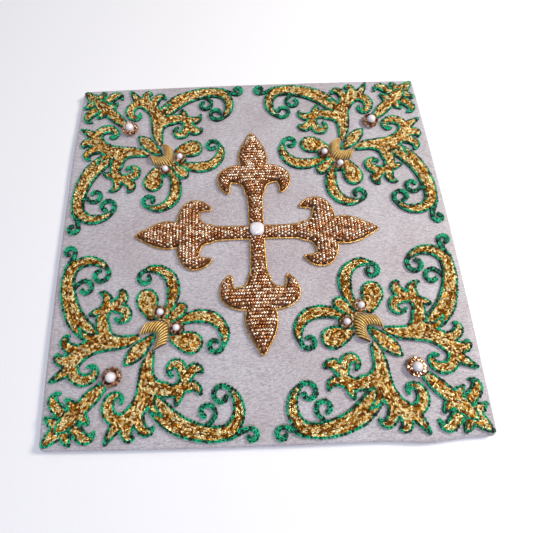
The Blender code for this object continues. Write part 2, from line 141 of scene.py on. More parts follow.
# These three lie across the corner's diagonal, so what is off it is drawn on both sides
SPRAY = {
    "stem": [(21.4, 21.4, 2.3), (18.6, 18.6, 3.1), (15.0, 15.0, 3.1), (12.2, 12.2, 3.4),
             (9.5, 9.5, 3.0), (7.2, 7.2, 2.0)],
    "barb": [(12.6, 14.0, 2.6), (10.9, 16.1, 1.9), (9.2, 17.7, 0.9)],
    "tip_lobe": [(7.5, 7.5, 3.4), (4.8, 4.8, 2.6), (2.2, 2.2, 1.0)],
    "side_lobe": [(7.6, 8.8, 2.8), (4.6, 10.0, 2.1), (2.2, 11.4, 0.9)],
    "curl_lobe": [(9.2, 12.0, 2.6), (6.0, 14.6, 2.5), (4.1, 17.1, 2.2), (4.4, 19.3, 1.4),
                  (6.3, 20.1, 0.8)],
}
LEAF = {
    "blade": [(41.0, 41.0, 0.9), (39.2, 39.2, 1.8), (37.4, 37.4, 2.6), (35.0, 35.0, 3.4),
              (32.3, 32.3, 2.8), (29.6, 29.6, 0.7)],
}
FLOWER = {
    "long_petal": [(45.2, 49.0, 1.6), (47.0, 53.8, 2.4), (47.7, 58.4, 2.9), (46.8, 63.2, 2.9),
                   (43.7, 66.8, 2.5), (39.6, 68.3, 2.0)]
    + curl((36.2, 64.3), (3.3, 1.35), 100, 290, 1.1),
    "round_petal": [(39.6, 46.9, 1.3), (38.5, 50.0, 3.0), (37.4, 54.2, 4.6), (37.2, 55.4, 4.5)],
    "middle_petal": [(46.5, 46.5, 1.9), (49.0, 49.0, 2.7), (51.0, 51.0, 2.8)],
    "pearl_seat": [(*SMALL_PEARL_AT, 3.0), (43.6, 46.8, 2.4), (45.6, 45.6, 2.2)],
}
# One arm of the bullion collar, from the corner's diagonal out. The other arm mirrors it.
COLLAR = [
    # a wrap's outer end, its inner end
    (45.3, 45.3, 41.4, 41.4),
    (46.3, 42.8, 41.7, 39.3),
    (46.2, 40.0, 41.2, 37.0),
    (45.6, 37.2, 40.5, 34.8),
]
# Green lines worked over the gold
BRANCH_VEINS = [
    [(18.9, 42.3, 0), (16.0, 41.6, 0), (12.6, 43.2, 0), (10.6, 44.9, 0)],
    [(10.9, 44.6, 0), (11.7, 42.2, 0), (14.0, 38.9, 0)],
]
SPRAY_VEINS = [
    [(6.2, 6.6, 0), (6.6, 9.5, 0), (8.3, 12.4, 0), (9.6, 14.2, 0)],
]
CROSS_AT = (0.25, 0.9, 0.0)  # the crossing, which lies a little off the middle
ARM_LENGTH = 52.2
# One arm of the cross: distance from the middle, distance off the arm's axis, half-width
CROSS_ARM = {
    "shaft": [(0.0, 0.0, 3.4), (12.0, 0.0, 3.4), (20.0, 0.0, 3.9), (25.5, 0.0, 4.8),
              (30.0, 0.0, 6.2), (33.0, 0.0, 5.6)],
    "bend": [(20.2, 1.7, 3.0), (23.0, 2.3, 3.0), (25.3, 3.8, 3.0), (26.8, 6.2, 3.0),
             (27.4, 8.9, 3.0)],
    "spear": [(33.0, 0.0, 5.6), (37.5, 0.0, 6.7), (41.5, 0.0, 5.9), (45.5, 0.0, 4.0),
              (49.0, 0.0, 2.3), (ARM_LENGTH - 1.2, 0.0, 1.2)],
    "hook": [(29.0, 3.0, 5.0), (29.6, 8.0, 4.6), (27.8, 12.4, 3.9), (23.8, 13.2, 2.7),
             (20.2, 12.1, 1.2)],
}
CROSS_CORD = 0.85
# Padding: depth inside the cross's edge, height
PADDING = [(-0.1, 0.75), (0.4, 1.7), (1.0, 2.45), (1.9, 2.8)]
COLLAR_HEIGHT = 2.8
COLLAR_WRAPS = 7  # in each arm of the collar

SPINE_STEP = 0.45
GRID_STEP = 0.25
CORNER_REACH = np.arange(-3.0, SIDE / 2, GRID_STEP)
TINY = 1e-9


def linear(hex_colour, alpha=None):
    """An sRGB hex colour as linear values."""
    made = []
    for k in (1, 3, 5):
        share = int(hex_colour[k : k + 2], 16) / 255
        made.append(share / 12.92 if share <= 0.04045 else ((share + 0.055) / 1.055) ** 2.4)
    return (*made, alpha) if alpha is not None else tuple(made)


def colour_setting(name, hex_colour, description):
    return bpy.props.FloatVectorProperty(
        name=name,
        description=description,
        default=linear(hex_colour),
        subtype="COLOR",
        size=3,
        min=0.0,
        max=1.0,
    )


def length_setting(name, millimetres, description):
    return bpy.props.FloatProperty(
        name=name,
        description=description,
        default=millimetres * MM,
        min=0.0,
        precision=5,
        unit="LENGTH",
    )


class SatinSettings(bpy.types.PropertyGroup):
    colour: colour_setting("Satin", "#CCC9CC", "Satin where the light falls on it")
    shade: colour_setting("Shaded float", "#968E94", "Satin between its floats")
    float_width: length_setting("Float width", 0.42, "Width of a float of the satin as drawn")
    pucker: length_setting("Pucker", 0.16, "Rise and fall of the cloth between the stitches")


class StitchSettings(bpy.types.PropertyGroup):
    # Painted light: green and green shade, and gold light and gold shade, are painted highlights and
    # painted shade in the gaps between links, mixed at random by link and fleck.
    green: colour_setting("Green thread", "#0ABE86", "Lit side of the green thread")
    green_shade: colour_setting("Green shade", "#012A1C", "Shaded side of the green thread")
    gold: colour_setting("Gold thread", "#EEAC30", "Metallic thread as most of it looks")
    gold_light: colour_setting("Gold light", "#FFF2B8", "Metallic thread where its foil is new")
    gold_shade: colour_setting("Gold shade", "#844808", "Metallic thread where it is worn")
    chain_width: length_setting("Chain width", 1.25, "Width of the green line of chain stitch")
    chain_link: length_setting("Chain link", 1.5, "Length of each green link that shows")
    gold_row: length_setting("Gold row", 0.88, "Distance between two rows of gold stitches")
    gold_link: length_setting("Gold link", 1.45, "Length of each gold link that shows")


class PurlSettings(bpy.types.PropertyGroup):
    rose: colour_setting("Rose purl", "#E8AC78", "Check purl of the cross")
    # Painted light: rose light and rose shade, mixed at random, are painted glints on the facets and
    # painted shade where the purl turns away.
    rose_light: colour_setting("Rose light", "#FFF2DC", "Check purl where a facet is polished")
    rose_shade: colour_setting("Rose shade", "#9C6236", "Check purl where it turns away")
    cord: colour_setting("Cord", "#FAD28A", "Twisted cord round the cross")
    bullion: colour_setting("Bullion", "#FFDC8C", "Coiled bullion of the collars")
    purl_row: length_setting("Purl row", 1.35, "Distance between two rows of purl")
    purl_bead: length_setting("Purl bead", 1.08, "Length of each bright facet along a row")


class PearlSettings(bpy.types.PropertyGroup):
    pearl: colour_setting("Pearl", "#E4E5EA", "Coat of the glass pearls")


class StudioSettings(bpy.types.PropertyGroup):
    floor: colour_setting("Floor", "#F4F4F4", "Plain paper floor")
    key_strength: bpy.props.FloatProperty(
        name="Key light",
        description="Power of the soft light from the right",
        default=2.9,
        min=0.0,
        unit="POWER",
    )


def smooth(rows, step=SPINE_STEP):
    """Points about step apart on the smooth curve through the rows, with the half-width."""
    knots = np.array([rows[0], *rows, rows[-1]], float)
    found = []
    for before, start, end, after in zip(knots, knots[1:], knots[2:], knots[3:]):
        count = max(2, math.ceil(np.linalg.norm((end - start)[:2]) / step))
        t = np.arange(count)[:, None] / count
        found.append(
            start
            + 0.5 * t * (end - before)
            + t * t * (before - 2.5 * start + 2 * end - 0.5 * after)
            + t * t * t * (1.5 * (start - end) + 0.5 * (after - before))
        )
    return np.concatenate([*found, knots[-1:]])


def spine(strokes, mirrored=False):
    """Every stroke's points: two coordinates and a half-width each."""
    points = np.concatenate([smooth(rows) for rows in strokes.values()])
    return np.concatenate([points, points[:, [1, 0, 2]]]) if mirrored else points


def field(points, reach):
    """Signed distance from the strokes' edge at each grid point, negative inside."""
    made = np.full((len(reach), len(reach)), np.inf)
    for x, y, half_width in points:
        made = np.minimum(made, np.hypot(reach[:, None] - x, reach[None, :] - y) - half_width)
    return made


def value_at(values, reach, places):
    """The field at any places, between its grid points."""
    step = reach[1] - reach[0]
    at = np.clip((np.asarray(places)[:, :2] - reach[0]) / step, 0, len(reach) - 1.001)
    low = at.astype(int)
    i, j = low.T
    u, v = (at - low).T
    lower = values[i, j] * (1 - u) + values[i + 1, j] * u
    upper = values[i, j + 1] * (1 - u) + values[i + 1, j + 1] * u
    return lower * (1 - v) + upper * v


def loops_at(values, level, reach, shortest=2.0):
    """Every closed line along which the field has that level and that is long enough."""
    inside = values < level
    places, links = {}, {}
    mixed = inside[:-1, :-1].astype(int) + inside[1:, :-1] + inside[1:, 1:] + inside[:-1, 1:]
    for i, j in zip(*np.nonzero((mixed > 0) & (mixed < 4))):
        corners = [(i, j), (i + 1, j), (i + 1, j + 1), (i, j + 1)]
        cut = []
        for start, end in zip(corners, corners[1:] + corners[:1]):
            if inside[start] != inside[end]:
                share = (level - values[start]) / (values[end] - values[start])
                edge = (start, end) if start < end else (end, start)
                places[edge] = (
                    reach[start[0]] + share * (reach[end[0]] - reach[start[0]]),
                    reach[start[1]] + share * (reach[end[1]] - reach[start[1]]),
                )
                cut.append(edge)
        for first, second in zip(cut[::2], cut[1::2]):
            links.setdefault(first, []).append(second)
            links.setdefault(second, []).append(first)
    left = dict.fromkeys(links)
    loops = []
    while left:
        edge = next(iter(left))
        loop = []
        while edge in left:
            del left[edge]
            loop.append(places[edge])
            edge = next((e for e in links[edge] if e in left), edge)
        loop = np.array(loop)
        if len(loop) > 4 and run_of(loop, closed=True)[-1] >= shortest:
            loops.append(loop)
    return loops


def run_of(line, closed=False):
    """How far along the line each of its points lies."""
    ends = np.concatenate([line, line[:1]]) if closed else line
    steps = np.linalg.norm(np.diff(ends[:, :2], axis=0), axis=1)
    return np.concatenate([[0.0], np.cumsum(steps)])


def stepped(line, step, closed=False):
    """Places evenly spaced along the line, and the line's direction at each."""
    run = run_of(line, closed)
    ends = np.concatenate([line, line[:1]]) if closed else line
    count = max(3 if closed else 2, round(run[-1] / step))
    at = (np.arange(count) + 0.5) * run[-1] / count
    # The direction is taken over this much of the line on each side of a place
    half = 0.3 * run[-1] / count

    def place(distance):
        distance = distance % run[-1] if closed else np.clip(distance, 0, run[-1])
        return np.stack([np.interp(distance, run, ends[:, k]) for k in (0, 1)], axis=1)

    along = place(at + half) - place(at - half)
    along /= np.maximum(np.linalg.norm(along, axis=1), TINY)[:, None]
    return place(at), along


def thinned(loop, tolerance):
    """The loop without the points that lie within the tolerance of a straight line."""
    far = int(np.argmax(np.linalg.norm(loop - loop[0], axis=1)))
    closed = np.concatenate([loop, loop[:1]])
    keep = {0, far, len(loop)}
    spans = [(0, far), (far, len(loop))]
    while spans:
        low, high = spans.pop()
        if high - low < 2:
            continue
        along = closed[high] - closed[low]
        rest = closed[low + 1 : high] - closed[low]
        off = np.abs(rest[:, 0] * along[1] - rest[:, 1] * along[0])
        off = off / max(np.linalg.norm(along), TINY)
        worst = int(np.argmax(off))
        if off[worst] > tolerance:
            keep.add(low + 1 + worst)
            spans += [(low, low + 1 + worst), (low + 1 + worst, high)]
    return closed[sorted(keep - {len(loop)})]


def drawn_in(loop, points, inset, most=0.85):
    """Each point of the loop moved towards the spine point whose edge it lies on.

    It goes by the inset, but no more than the share most of the way.
    """
    made = []
    for place in loop:
        away = np.linalg.norm(points[:, :2] - place, axis=1)
        nearest = points[np.argmin(away - points[:, 2])]
        reach = max(np.linalg.norm(nearest[:2] - place), TINY)
        made.append(place + (nearest[:2] - place) * min(inset / reach, most))
    return np.array(made)


def in_corner(points, signs, swapped=False):
    """Points given from a corner of the pall, moved into the pall's own frame."""
    made = np.array(points, float)
    if swapped:
        made[:, [0, 1]] = made[:, [1, 0]]
    made[:, 0] = signs[0] * (SIDE / 2 - made[:, 0])
    made[:, 1] = signs[1] * (SIDE / 2 - made[:, 1])
    return made


def wound_out(points, groups):
    """The faces, turned over if they enclose their volume from the wrong side."""
    volume = 0.0
    for group in groups:
        corners = points[group]
        for k in range(1, group.shape[1] - 1):
            across = np.cross(corners[:, k], corners[:, k + 1])
            volume += float(np.sum(corners[:, 0] * across))
    return groups if volume > 0 else [group[:, ::-1] for group in groups]


def tube_faces(count, sides, round_shut=False):
    """The numbers of the points in each ring, and the faces from each ring to the next."""
    index = np.arange(count * sides).reshape(count, sides)
    lower = index if round_shut else index[:-1]
    upper = np.roll(index, -1, axis=0) if round_shut else index[1:]
    return index, np.stack(
        [lower, np.roll(lower, -1, axis=1), np.roll(upper, -1, axis=1), upper], axis=-1
    ).reshape(-1, 4)


def skin(loops, round_shut=False):
    """Points and faces through loops of equal length, each point with its height."""
    index, quads = tube_faces(len(loops), len(loops[0]), round_shut)
    ends = [] if round_shut else [index[:1, ::-1], index[-1:]]
    return np.concatenate(loops), [quads, *ends]


def repeated(faces, copies, size):
    """The faces on each of several copies of a shape, which has size points."""
    offsets = (np.arange(copies) * size)[:, None, None]
    return (faces[None] + offsets).reshape(-1, faces.shape[-1])


def rings_across(middles, along, heights, radius, turns):
    """A ring of points round each middle, upright and across its direction."""
    off = radius * np.cos(turns)
    return np.stack(
        [
            middles[:, :1] - off * along[:, 1:],
            middles[:, 1:] + off * along[:, :1],
            heights + radius * np.sin(turns),
        ],
        axis=-1,
    )


def at_height(loop, height):
    return np.column_stack([loop, np.broadcast_to(height, len(loop))])


def new_object(name, data):
    made = bpy.data.objects.new(name, data)
    bpy.context.scene.collection.objects.link(made)
    return made


def add_piece(name, parts, finishes, node):
    """One piece from its parts: points, groups of faces, number of the finish, smoothness.

    Where a part has several finishes, it gives a list with the numbers for each group.
    """
    points, faces, finish_of, smooth_of = [], [], [], []
    offset = 0
    for part_points, groups, finish, is_smooth in parts:
        numbers = finish if isinstance(finish, list) else [finish] * len(groups)
        for group, number in zip(wound_out(part_points, groups), numbers):
            faces += (group + offset).tolist()
            finish_of += np.broadcast_to(number, len(group)).tolist()
            smooth_of += [is_smooth] * len(group)
        points.append(part_points)
        offset += len(part_points)
    mesh = bpy.data.meshes.new(name)
    mesh.from_pydata((np.concatenate(points) * MM).tolist(), [], faces)
    mesh.polygons.foreach_set("material_index", finish_of)
    mesh.polygons.foreach_set("use_smooth", smooth_of)
    for finish in finishes:
        mesh.materials.append(finish)
    mesh.update()
    piece = new_object(name, mesh)
    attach(piece, "root")
    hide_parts(node)
    return piece


def corners_of(node):
    """The lowest and the highest corner of a node's box."""
    return (np.array(corner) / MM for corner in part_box(node))


LINK_STEPS = 8  # rings of points round one link
LINK_TAPER = 0.28  # how much narrower a link is at its start, and wider at its end
LINK_CLIMB = 0.40  # thread widths that its start lies above its middle, and its end below
LINK_ARCH = 0.25  # thread widths that its sides rise
# How far a link strays for each unit of looseness
STRAY_TURN, STRAY_SHIFT, STRAY_LIFT, STRAY_TILT = 0.9, 0.45, 0.5, 1.4


def chain_links(places, along, size, thread, sides, rise, loose, seed):
    """Loops of thread, one to a link. Each rises out of the link before and lies on it."""
    length, width = size
    around = 2 * math.pi * (np.arange(LINK_STEPS) + 0.5) / LINK_STEPS
    u = -(length - thread) / 2 * np.cos(around)
    v = (width - thread) / 2 * np.sin(around) * (1.0 - LINK_TAPER * np.cos(around))
    w = LINK_CLIMB * thread * np.cos(around) + LINK_ARCH * thread * np.abs(np.sin(around))
    path = np.stack([u, v, w], axis=1)
    tangent = np.roll(path, -1, axis=0) - np.roll(path, 1, axis=0)
    side = np.stack([tangent[:, 1], -tangent[:, 0]], axis=1)
    side /= np.linalg.norm(side, axis=1)[:, None]
    turns = 2 * math.pi * (np.arange(sides) + 0.5) / sides
    ring = np.zeros((LINK_STEPS, sides, 3))
    ring[:, :, :2] = side[:, None, :] * np.cos(turns)[None, :, None]
    ring[:, :, 2] = np.sin(turns)[None, :]
    template = (path[:, None, :] + ring * thread / 2).reshape(-1, 3)

    hand = np.random.default_rng(seed)
    count = len(places)
    stretch = 1 + loose * hand.uniform(-1.0, 1.0, (count, 2))
    turn = loose * STRAY_TURN * hand.uniform(-1.0, 1.0, count)
    shift = loose * STRAY_SHIFT * hand.uniform(-1.0, 1.0, (count, 2))
    lift = loose * STRAY_LIFT * hand.uniform(-1.0, 1.0, count)
    tilt = loose * STRAY_TILT * hand.uniform(-1.0, 1.0, (count, 2))
    heights = ON_CLOTH + rise + lift
    x = along[:, 0] * np.cos(turn) - along[:, 1] * np.sin(turn)
    y = along[:, 0] * np.sin(turn) + along[:, 1] * np.cos(turn)
    u = template[None, :, 0] * stretch[:, :1]
    v = template[None, :, 1] * stretch[:, 1:]
    points = np.stack(
        [
            places[:, :1] + shift[:, :1] + u * x[:, None] - v * y[:, None],
            places[:, 1:2] + shift[:, 1:] + u * y[:, None] + v * x[:, None],
            heights[:, None] + template[None, :, 2] + tilt[:, :1] * u + tilt[:, 1:] * v,
        ],
        axis=-1,
    )
    index, quads = tube_faces(LINK_STEPS, sides, round_shut=True)
    return points.reshape(-1, 3), [repeated(quads, count, index.size)]


def collar_wraps(count):
    """Lines across the collar from one arm's end to the other's: outer end, inner end."""
    arm = np.array(COLLAR)
    ends = smooth(np.concatenate([arm[:0:-1][:, [1, 0, 3, 2]], arm]), step=0.2)
    run = run_of(ends)
    at = np.linspace(0, run[-1], count)
    return np.stack([np.interp(at, run, ends[:, k]) for k in range(4)], axis=1)


def collar_field():
    """The collar's field, from small discs set close together on its wraps."""
    wraps, discs, disc_radius = 60, 15, 0.25
    ends = collar_wraps(wraps)
    shares = np.linspace(0.05, 0.95, discs)[:, None, None]
    covered = (ends[:, :2] * (1 - shares) + ends[:, 2:] * shares).reshape(-1, 2)
    return field(np.column_stack([covered, np.full(len(covered), disc_radius)]), CORNER_REACH)


def worked_areas():
    """For each worked area: its own field, the field of what lies over it, and its veins."""
    reach = CORNER_REACH
    collar = GAP - collar_field()
    crown_radius, bead_radius, _ = CROWNS["large"]
    crown = GAP - field(np.array([(*LARGE_PEARL_AT, crown_radius + bead_radius)]), reach)
    leaf = field(spine(LEAF, mirrored=True), reach)
    flower = field(spine(FLOWER, mirrored=True), reach)
    branch = field(spine(BRANCH), reach)
    spray = field(spine(SPRAY, mirrored=True), reach)
    both = np.minimum(branch, branch.T)
    veins = [smooth(rows)[:, :2] for rows in SPRAY_VEINS]
    return {
        "leaf": (leaf, collar, []),
        "flower": (flower, np.maximum(collar, GAP - leaf), []),
        "branch": (
            np.maximum(branch, GAP / 2 - branch.T),
            np.maximum(np.maximum(collar, crown), GAP - leaf),
            [smooth(rows)[:, :2] for rows in BRANCH_VEINS],
        ),
        "spray": (
            np.maximum(spray, GAP - both),
            np.maximum(collar, crown),
            veins + [line[:, ::-1] for line in veins],
        ),
    }


def bed(values, inset, base, top):
    """The padding of thread under the stitches, one flat mound to each closed line."""
    parts = []
    for loop in loops_at(values, -inset, CORNER_REACH):
        loop = thinned(loop, BED_TOLERANCE)
        if len(loop) > 3:
            parts.append(skin([at_height(loop, base), at_height(loop, top)]))
    return parts


def fill(tree, node, inputs):
    """Sets the node's inputs, or links those whose value is a socket."""
    for name, value in inputs.items():
        if isinstance(value, bpy.types.NodeSocket):
            tree.links.new(value, node.inputs[name])
        else:
            node.inputs[name].default_value = value


def add_node(tree, kind, output, inputs=None, **settings):
    """An output of one new node with its settings and inputs."""
    made = tree.nodes.new("ShaderNode" + kind)
    for name, value in settings.items():
        setattr(made, name, value)
    fill(tree, made, inputs or {})
    return made.outputs[output]


FACTOR, COLOUR_A, COLOUR_B, MIXED = 0, 6, 7, 2  # sockets of a colour Mix node
WAVE_PERIOD = 2 * math.pi / 20  # width of a Wave Texture's band at scale 1


def start_finish(name, roughness, metallic=0.0):
    """A new material, its node tree, shader and a place in millimetres on the piece."""
    made = bpy.data.materials.new(name)
    made.use_nodes = True
    tree = made.node_tree
    shader = tree.nodes["Principled BSDF"]
    fill(tree, shader, {"Roughness": roughness, "Metallic": metallic})
    place = add_node(tree, "TexCoord", "Object")
    in_mm = add_node(tree, "VectorMath", 0, {0: place, 1: [1 / MM] * 3}, operation="MULTIPLY")
    return made, tree, shader, in_mm


def solid_colour(colour):
    return (*colour, 1.0)


def satin_weave(looks):
    """Woven satin: long floats that catch the light in short streaks, and a slubby speckle.

    Real floats are about 0.2 mm wide. They are drawn as wide as the render can show.
    """
    made, tree, shader, in_mm = start_finish("satin_woven", 0.52)
    width = looks.float_width / MM
    slenderness = 0.30  # a float's width, as a share of its length
    slanted = add_node(tree, "Mapping", "Vector", {
        "Vector": in_mm,
        "Rotation": (0.0, 0.0, math.radians(32)),
        "Scale": (slenderness / width, 1.0 / width, 1.0 / width),
    })
    floats = add_node(tree, "TexNoise", "Fac", {
        "Vector": slanted, "Scale": 1.0, "Detail": 2.0, "Roughness": 0.6,
    })
    speckle = add_node(tree, "TexNoise", "Fac", {
        "Vector": in_mm, "Scale": 1.9, "Detail": 3.0, "Roughness": 0.75,
    })
    both = add_node(tree, "Math", 0, {0: floats, 1: speckle}, operation="ADD")
    share = add_node(tree, "MapRange", "Result", {
        "Value": both, "From Min": 0.72, "From Max": 1.22,
    })
    cloth = add_node(tree, "Mix", MIXED, {
        FACTOR: share,
        COLOUR_A: solid_colour(looks.shade),
        COLOUR_B: solid_colour(looks.colour),
    }, data_type="RGBA")
    # Painted shade of soft folds: broad warm clouds, a few centimetres across, that darken the satin
    cloud = add_node(tree, "TexNoise", "Fac", {"Vector": in_mm, "Scale": 0.045, "Detail": 2.0})
    fold_shade = add_node(tree, "MapRange", "Result", {
        "Value": cloud, "From Min": 0.35, "From Max": 0.65, "To Max": 0.5,
    })
    fold_shaded = add_node(tree, "Mix", MIXED, {
        FACTOR: fold_shade, COLOUR_A: cloth, COLOUR_B: linear("#E6D9D6", 1.0),
    }, data_type="RGBA", blend_type="MULTIPLY")
    bump = add_node(tree, "Bump", "Normal", {
        "Strength": 0.55, "Distance": 0.1 * MM, "Height": both,
    })
    fill(tree, shader, {
        "Base Color": fold_shaded,
        "Normal": bump,
        "Sheen Weight": 0.25,
        "Sheen Roughness": 0.4,
        "Specular IOR Level": 0.45,
    })
    return made


def spun_thread(name, tones, roughness, metallic, grain, bump, ply=0.30):
    """Thread of plied filaments: fine slanting ply lines, and links and flecks of several tones.

    The tones go from the darkest to the lightest. A fleck is about one grain across, a ply
    line ply wide and bump high.
    """
    made, tree, shader, in_mm = start_finish(name, roughness, metallic)
    cells = add_node(tree, "TexVoronoi", "Color", {"Vector": in_mm, "Scale": 1.0 / grain})
    fleck = add_node(tree, "SeparateColor", "Red", {"Color": cells})
    link = add_node(tree, "NewGeometry", "Random Per Island")
    both = add_node(tree, "Math", 0, {0: fleck, 1: link}, operation="ADD")
    share = add_node(tree, "MapRange", "Result", {
        "Value": both, "From Min": 0.66, "From Max": 1.34,
    })
    # Where the tones are shaded and lit ones, this random mix of them is painted shade and painted
    # highlight.
    colour = solid_colour(tones[0])
    bands = len(tones) - 1
    for k, tone in enumerate(tones[1:]):
        band = add_node(tree, "MapRange", "Result", {
            "Value": share, "From Min": k / bands, "From Max": (k + 1) / bands,
        })
        colour = add_node(tree, "Mix", MIXED, {
            FACTOR: band, COLOUR_A: colour, COLOUR_B: solid_colour(tone),
        }, data_type="RGBA")
    plies = add_node(tree, "TexWave", "Fac", {
        "Vector": in_mm, "Scale": WAVE_PERIOD / ply, "Distortion": 2.5, "Detail": 1.0,
    }, bands_direction="DIAGONAL")
    normal = add_node(tree, "Bump", "Normal", {
        "Strength": 0.6, "Distance": bump * MM, "Height": plies,
    })
    fill(tree, shader, {"Base Color": colour, "Normal": normal, "Specular IOR Level": 0.4})
    return made


def glass_pearl(looks):
    """Glass bead under a pearly coat: white with a blue and a rose cast, and a sharp gloss."""
    made, tree, shader, in_mm = start_finish("glass_pearl_coated", 0.22)
    # Painted shade: the coat turns warm grey towards the pearl's rim
    facing = add_node(tree, "LayerWeight", "Facing", {"Blend": 0.35})
    colour = add_node(tree, "Mix", MIXED, {
        FACTOR: facing, COLOUR_A: solid_colour(looks.pearl), COLOUR_B: linear("#BDB6B4", 1.0),
    }, data_type="RGBA")
    bloom = add_node(tree, "TexNoise", "Fac", {"Vector": in_mm, "Scale": 0.7, "Detail": 1.0})
    tinted = add_node(tree, "Mix", MIXED, {
        FACTOR: bloom, COLOUR_A: colour, COLOUR_B: linear("#F3E9EA", 1.0),
    }, data_type="RGBA")
    fill(tree, shader, {"Base Color": tinted, "Coat Weight": 0.8, "Coat Roughness": 0.06})
    return made


def paper_floor(colour):
    """Matt white card: no gloss, with the faintest grain."""
    made, tree, shader, in_mm = start_finish("card_matt", 0.9)
    grain = add_node(tree, "TexNoise", "Fac", {"Vector": in_mm, "Scale": 0.8, "Detail": 2.0})
    shade = add_node(tree, "Mix", MIXED, {
        FACTOR: grain, COLOUR_A: solid_colour(colour), COLOUR_B: linear("#F0F0F1", 1.0),
    }, data_type="RGBA")
    fill(tree, shader, {"Base Color": shade, "Specular IOR Level": 0.1})
    return made


EDGE_STEPS = 62  # points along each side of the cloth
CORNER_STEPS = 7  # and round each of its corners
CLOTH_RINGS = 60  # loops of points from the rim to the middle
FLAT_RINGS = 6  # loops over which the pucker grows from nothing
RIPPLES = (16.0, 19.0, 24.0, 29.0, 36.0, 44.0, 55.0, 70.0)  # wavelengths
RIPPLE_GAIN = 2.2  # brings the mean of the waves up to about 1 at its highest


def pall_edge():
    """The edge of the cloth from above, with rounded corners and slightly swollen sides."""
    half = SIDE / 2
    made = []
    for quarter, (bow, swell, place, length) in enumerate(EDGES):
        turn = quarter * math.pi / 2
        across = np.array([math.cos(turn), math.sin(turn)])
        out = np.array([across[1], -across[0]])
        for k in range(1, EDGE_STEPS + 1):
            t = -1 + 2 * k / (EDGE_STEPS + 1)
            bulge = bow * (1 - t * t) + swell * math.exp(-(((t - place) / length) ** 2))
            made.append(across * t * (half - CORNER_ROUND) + out * (half + bulge))
        middle = (half - CORNER_ROUND) * (across + out)
        for k in range(CORNER_STEPS):
            angle = math.pi / 2 * k / (CORNER_STEPS - 1)
            made.append(middle + CORNER_ROUND * (out * math.cos(angle) + across * math.sin(angle)))
    made = np.array(made)
    return made - (made.max(axis=0) + made.min(axis=0)) / 2


def ripple(places):
    """Soft rise and fall of about 1 each way, where the stitches draw the cloth."""
    hand = np.random.default_rng(7)
    total = np.zeros(len(places))
    weight = 0.0
    for wavelength in RIPPLES:
        turn, start = hand.uniform(0, 2 * math.pi, 2)
        phase = places[:, 0] * math.cos(turn) + places[:, 1] * math.sin(turn)
        size = math.sqrt(wavelength)
        total += size * np.sin(2 * math.pi * phase / wavelength + start)
        weight += size
    return total / weight * RIPPLE_GAIN


class PALL_OT_cloth(bpy.types.Operator):
    """The square of satin with its rolled edges"""

    bl_idname = "pall.cloth"
    bl_label = "Cloth"

    def execute(self, context):
        looks = context.scene.pall_satin
        edge = pall_edge()
        along = np.roll(edge, -1, axis=0) - np.roll(edge, 1, axis=0)
        out = np.stack([along[:, 1], -along[:, 0]], axis=1)
        out /= np.linalg.norm(out, axis=1)[:, None]
        loops = [at_height(edge - out * inset, share * PALL_TOP) for inset, share in RIM]
        inner = edge - out * RIM[-1][0]
        for k in range(1, CLOTH_RINGS):
            ring = inner * (1 - k / CLOTH_RINGS)
            fade = min(1.0, k / FLAT_RINGS)
            height = PALL_TOP + looks.pucker / MM * fade * np.clip(ripple(ring), -1, 1)
            loops.append(np.column_stack([ring, height]))
        cloth = add_piece(
            "cloth", [(*skin(loops), 0, True)], [satin_weave(looks)], "pall"
        )
        return {"FINISHED"}


WORKED = [
    # area, end of its node's name, whether it is mirrored across the corner's diagonal
    ("leaf", "", False),
    ("flower", "", False),
    ("spray", "", False),
    ("branch", "_a", False),
    ("branch", "_b", True),
]
LINK_OVERLAP = 1.22  # a link's whole length, as a share of the length that shows
GOLD_WIDTH = 1.02  # a gold link's width, as a share of the distance between rows
# These three are shares of a green line's width
EDGE_LINE = 0.49  # from the edge to the middle of the green line
GOLD_START = 0.92  # from the edge to the gold
VEIN_HALF = 0.42  # from the middle of a vein to the gold
# What the stitches keep clear of what lies over them
EDGE_CLEAR, VEIN_CLEAR, GOLD_CLEAR = 0.25, 0.3, 0.1
FIRST_ROW = 0.30  # of a row, from where the gold starts to its first links
SHORTEST_ROW = 1.2
# A place counts as bare this far inside the gold, this share of a row away from any link.
# A link is put there if it is this share of a link's length from the last ones put in.
BARE_INSET, BARE_ROW, BARE_LINK = 0.2, 0.75, 0.70
BEDS = [
    # number of the finish, inset, bottom and top from the level ON_CLOTH
    (2, 0.25, -0.6, 0.16),
    (3, 0.05, -0.5, 0.30),
]
BED_TOLERANCE = 0.06


